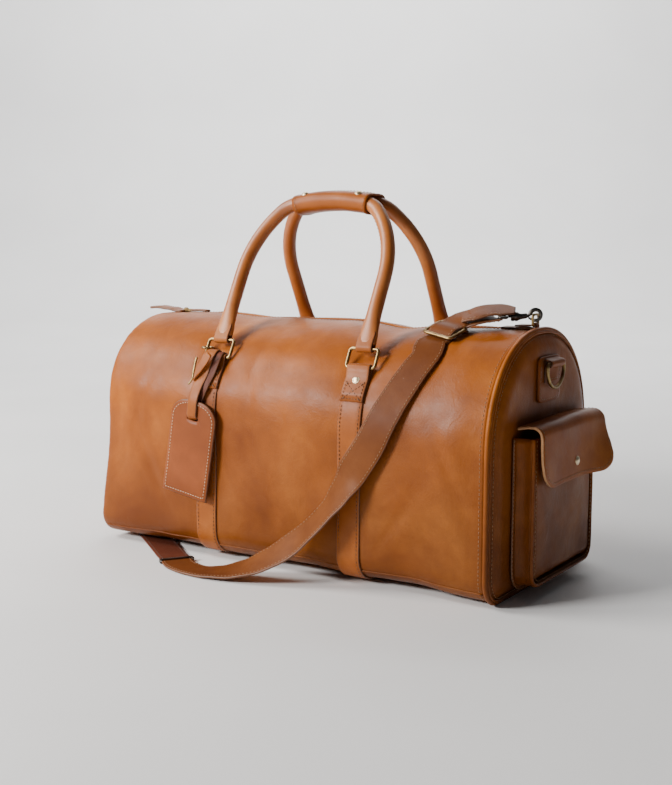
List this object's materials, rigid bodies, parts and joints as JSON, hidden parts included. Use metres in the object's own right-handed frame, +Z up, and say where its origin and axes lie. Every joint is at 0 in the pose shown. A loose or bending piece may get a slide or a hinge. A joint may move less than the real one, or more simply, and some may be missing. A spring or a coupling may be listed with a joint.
{
  "type": "duffel bag",
  "caption": "Barrel-shaped leather duffel bag with rolled handles joined by a grip wrap, a top zipper, an end pocket with a flap, a luggage tag and a shoulder strap.",
  "frame": {"origin": "on the floor under the middle of the barrel", "axes": "+X along the bag towards the end with the pocket, -Y towards the side with the luggage tag, +Z up"},
  "size_m": [0.6116, 0.3145, 0.4256],
  "materials": {
    "tan_leather": "satin",
    "dark_leather": "satin",
    "brass": "polished",
    "zipper_cloth": "matte",
    "lining_cloth": "matte",
    "stiffener": "matte",
    "handle_core": "matte"
  },
  "bodies": {
    "bag": {"front_body_panel": "tan_leather", "rear_body_panel": "tan_leather", "bottom_panel": "tan_leather", "base_board": "stiffener", "lining": "lining_cloth", "right_end_panel": "tan_leather", "left_end_panel": "tan_leather", "right_end_piping": "tan_leather", "left_end_piping": "tan_leather", "zipper_tapes": "zipper_cloth", "zipper_teeth": "brass", "left_zipper_tab": "tan_leather", "right_zipper_tab": "tan_leather", "left_body_strap": "tan_leather", "right_body_strap": "tan_leather", "front_left_strap_loop": "tan_leather", "front_right_strap_loop": "tan_leather", "rear_left_strap_loop": "tan_leather", "rear_right_strap_loop": "tan_leather", "strap_rivets": "brass", "right_ring_tab": "tan_leather", "left_ring_tab": "tan_leather", "pocket_gusset": "tan_leather", "pocket_front": "tan_leather", "pocket_snap_stud": "brass", "shoulder_strap_front": "tan_leather", "shoulder_strap_rear": "dark_leather", "shoulder_strap_loop": "tan_leather", "strap_keeper": "brass", "strap_slide_buckle": "brass", "right_hook_eye": "brass", "left_hook_eye": "brass"},
    "front_rings": {"front_left_ring": "brass", "front_right_ring": "brass"},
    "rear_rings": {"rear_left_ring": "brass", "rear_right_ring": "brass"},
    "front_handle": {"front_handle_core": "handle_core", "front_handle_sleeve": "tan_leather", "front_handle_ends": "tan_leather", "grip_wrap": "tan_leather", "grip_snap_caps": "brass"},
    "rear_handle": {"rear_handle_core": "handle_core", "rear_handle_sleeve": "tan_leather", "rear_handle_ends": "tan_leather"},
    "tag_hanger": {"tag_link": "brass", "tag_strap": "dark_leather", "tag_buckle": "brass"},
    "luggage_tag": {"tag_leaves": "tan_leather"},
    "zipper_slider_body": {"zipper_slider": "brass"},
    "zipper_pull_body": {"zipper_pull": "brass", "zipper_pull_tab": "tan_leather"},
    "pocket_flap_body": {"pocket_flap": "tan_leather", "pocket_snap_cap": "brass"},
    "right_d_ring_body": {"right_d_ring": "brass"},
    "left_d_ring_body": {"left_d_ring": "brass"},
    "top_ring_body": {"right_top_ring": "brass"},
    "right_hook": {"right_hook_body": "brass"},
    "right_gate": {"right_hook_gate": "brass"},
    "left_hook": {"left_hook_body": "brass"},
    "left_gate": {"left_hook_gate": "brass"}
  },
  "joints": [
    {"name": "front_ring_swing", "type": "hinge", "parent": "bag", "child": "front_rings", "pos_m": [-0.003, -0.10003, 0.23486], "axis": [1, 0, 0], "range_deg": [0, 66], "deforming": ["grip_wrap", "grip_snap_caps"]},
    {"name": "front_handle_swing", "type": "hinge", "parent": "front_rings", "child": "front_handle", "pos_m": [-0.003, -0.09008, 0.25448], "axis": [1, 0, 0], "range_deg": [0, 75], "deforming": ["grip_wrap", "grip_snap_caps"]},
    {"name": "rear_ring_swing", "type": "hinge", "parent": "bag", "child": "rear_rings", "pos_m": [-0.003, 0.10003, 0.23486], "axis": [-1, 0, 0], "range_deg": [0, 66], "deforming": ["grip_wrap", "grip_snap_caps"]},
    {"name": "rear_handle_swing", "type": "hinge", "parent": "rear_rings", "child": "rear_handle", "pos_m": [-0.003, 0.09008, 0.25448], "axis": [-1, 0, 0], "range_deg": [0, 75], "deforming": ["grip_wrap", "grip_snap_caps"]},
    {"name": "tag_hanger_turn", "type": "hinge", "parent": "front_rings", "child": "tag_hanger", "pos_m": [-0.119, -0.09506, 0.24467], "axis": [1, 0, 0], "range_deg": [-66, 0]},
    {"name": "tag_swing", "type": "hinge", "parent": "tag_hanger", "child": "luggage_tag", "pos_m": [-0.113, -0.1296, 0.166], "axis": [-1, 0, 0], "range_deg": [0, 18]},
    {"name": "zipper_slide", "type": "slide", "parent": "bag", "child": "zipper_slider_body", "axis": [1, 0, 0], "range_m": [0, 0.38]},
    {"name": "zipper_pull_turn", "type": "hinge", "parent": "zipper_slider_body", "child": "zipper_pull_body", "pos_m": [-0.232, 0, 0.2791], "axis": [0, -1, 0], "range_deg": [0, 150]},
    {"name": "pocket_flap_open", "type": "hinge", "parent": "bag", "child": "pocket_flap_body", "pos_m": [0.27, 0.006, 0.183], "axis": [0, -1, 0], "range_deg": [0, 80]},
    {"name": "right_d_ring_swing", "type": "hinge", "parent": "bag", "child": "right_d_ring_body", "pos_m": [0.2765, 0, 0.242], "axis": [0, -1, 0], "range_deg": [0, 120]},
    {"name": "left_d_ring_swing", "type": "hinge", "parent": "bag", "child": "left_d_ring_body", "pos_m": [-0.2765, 0, 0.242], "axis": [0, 1, 0], "range_deg": [0, 3]},
    {"name": "top_ring_rock", "type": "hinge", "parent": "bag", "child": "top_ring_body", "pos_m": [0.252, 0, 0.2802], "axis": [0, 1, 0], "range_deg": [-3, 3]},
    {"name": "right_hook_swivel", "type": "hinge", "parent": "bag", "child": "right_hook", "pos_m": [0.2303, -0.0101, 0.2898], "axis": [0.9063, 0.4226, 0], "range_deg": [-12, 12]},
    {"name": "right_gate_open", "type": "hinge", "parent": "right_hook", "child": "right_gate", "pos_m": [0.24602, -0.00279, 0.2883], "axis": [0.4226, -0.9063, 0], "range_deg": [0, 25]},
    {"name": "left_hook_swivel", "type": "hinge", "parent": "bag", "child": "left_hook", "pos_m": [-0.2756, 0, 0.19], "axis": [0, 0, 1], "range_deg": [-12, 12]},
    {"name": "left_gate_open", "type": "hinge", "parent": "left_hook", "child": "left_gate", "pos_m": [-0.2741, 0, 0.2083], "axis": [0, -1, 0], "range_deg": [0, 25]}
  ],
  "couplings": [
    {"joint": "tag_hanger_turn", "follows": "front_ring_swing", "ratio": -1}
  ]
}
